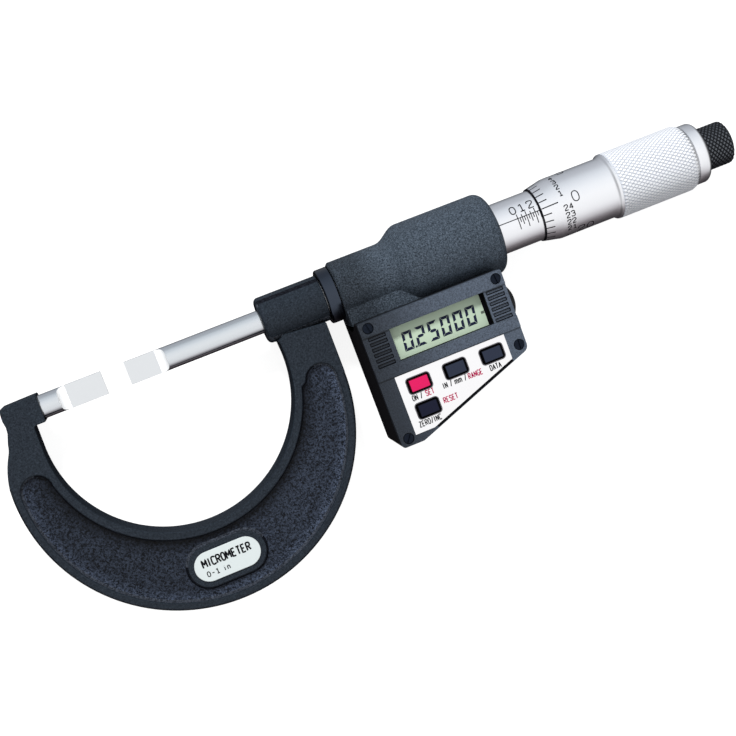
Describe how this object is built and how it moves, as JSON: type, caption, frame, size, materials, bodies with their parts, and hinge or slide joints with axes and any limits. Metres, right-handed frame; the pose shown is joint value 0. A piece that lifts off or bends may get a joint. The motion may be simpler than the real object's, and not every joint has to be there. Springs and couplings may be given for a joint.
{
  "type": "outside micrometer",
  "caption": "Electronic outside micrometer with blade faces: pocketed C frame, lock ring, display module with keys, graduated sleeve, knurled thimble and ratchet.",
  "frame": {"origin": "centre of the anvil's measuring face, on the spindle axis", "axes": "+X along the spindle axis from the anvil towards the ratchet; +Y away from the C frame's throat and the display module; +Z out of the display"},
  "size_m": [0.2147, 0.0777, 0.025],
  "materials": {
    "cast_paint": "wrinkled dark grey enamel on cast metal",
    "blade_steel": "ground and lapped hardened steel",
    "badge": "white, satin",
    "steel": "turned",
    "black_gloss": "black oxide, glossy",
    "satin_chrome": "satin chrome",
    "brass": "turned",
    "board": "green solder mask",
    "black_knob": "black oxide, knurled",
    "case_plastic": "black, satin",
    "slate_plastic": "dark slate, satin",
    "label": "white printed film",
    "display": "grey-green liquid crystal",
    "pale_plastic": "moulded",
    "dark_plastic": "moulded",
    "red_key": "red, satin",
    "dark_key": "dark slate, satin",
    "screw_steel": "dark zinc"
  },
  "bodies": {
    "frame_body": {"frame": "cast_paint", "anvil": "blade_steel", "frame_badge": "badge", "guide_barrel": "steel", "guide_key": "steel", "lock_roller": "steel", "housing": "cast_paint", "spindle_nut": "steel", "adjusting_nut": "steel", "rotor_bush": "brass", "encoder_stator": "board", "module_case": "case_plastic", "rear_cover": "case_plastic", "front_cover": "slate_plastic", "keypad_label": "label", "lcd_panel": "display", "lcd_holder": "pale_plastic", "circuit_board": "board", "key_switches": "dark_plastic", "flex_cable": "board", "battery_contacts": "brass", "cover_screws": "screw_steel", "rear_screws": "screw_steel", "bracket_screws": "screw_steel"},
    "lock_body": {"lock_ring": "black_gloss"},
    "sleeve_body": {"sleeve": "satin_chrome"},
    "spindle_body": {"spindle": "blade_steel", "coupling_collar": "steel", "coupling_cap": "steel", "thrust_ball": "steel"},
    "thimble_body": {"lead_screw": "steel", "thimble": "satin_chrome", "thimble_cap": "satin_chrome", "ratchet_hub": "steel", "ratchet_screw": "steel"},
    "ratchet_body": {"ratchet_knob": "black_knob", "ratchet_pawl": "steel", "ratchet_spring": "steel"},
    "encoder_body": {"encoder_rotor": "brass"},
    "tray_body": {"battery_tray": "slate_plastic", "battery_cell": "steel"},
    "shift_key_body": {"key_shift": "red_key"},
    "unit_key_body": {"key_unit": "dark_key"},
    "hold_key_body": {"key_hold": "dark_key"},
    "zero_key_body": {"key_zero": "dark_key"}
  },
  "joints": [
    {"name": "spindle_slide", "type": "slide", "parent": "frame_body", "child": "spindle_body", "axis": [1, 0, 0], "range_m": [-0.00635, 0.01905]},
    {"name": "thimble_turn", "type": "hinge", "parent": "spindle_body", "child": "thimble_body", "pos_m": [0.13, 0, 0], "axis": [1, 0, 0], "range_deg": [-3600, 10800]},
    {"name": "ratchet_turn", "type": "hinge", "parent": "thimble_body", "child": "ratchet_body", "pos_m": [0.178, 0, 0], "axis": [1, 0, 0], "continuous": true},
    {"name": "encoder_turn", "type": "hinge", "parent": "frame_body", "child": "encoder_body", "pos_m": [0.1068, 0, 0], "axis": [1, 0, 0], "range_deg": [-3600, 10800]},
    {"name": "lock_ring_turn", "type": "hinge", "parent": "frame_body", "child": "lock_body", "pos_m": [0.063, 0, 0], "axis": [1, 0, 0], "range_deg": [0, 35]},
    {"name": "sleeve_zero", "type": "hinge", "parent": "frame_body", "child": "sleeve_body", "pos_m": [0.13, 0, 0], "axis": [1, 0, 0], "range_deg": [-15, 15]},
    {"name": "tray_slide", "type": "slide", "parent": "frame_body", "child": "tray_body", "axis": [1, 0, 0], "range_m": [0, 0.022]},
    {"name": "shift_key_press", "type": "slide", "parent": "frame_body", "child": "shift_key_body", "axis": [0, 0, -1], "range_m": [0, 0.0005], "stiffness_N_per_m": 2000, "springref_m": -0.0005},
    {"name": "unit_key_press", "type": "slide", "parent": "frame_body", "child": "unit_key_body", "axis": [0, 0, -1], "range_m": [0, 0.0005], "stiffness_N_per_m": 2000, "springref_m": -0.0005},
    {"name": "hold_key_press", "type": "slide", "parent": "frame_body", "child": "hold_key_body", "axis": [0, 0, -1], "range_m": [0, 0.0005], "stiffness_N_per_m": 2000, "springref_m": -0.0005},
    {"name": "zero_key_press", "type": "slide", "parent": "frame_body", "child": "zero_key_body", "axis": [0, 0, -1], "range_m": [0, 0.0005], "stiffness_N_per_m": 2000, "springref_m": -0.0005}
  ],
  "couplings": [
    {"joint": "thimble_turn", "follows": "spindle_slide", "rad_per_m": 9894.8},
    {"joint": "encoder_turn", "follows": "spindle_slide", "rad_per_m": 9894.8}
  ]
}
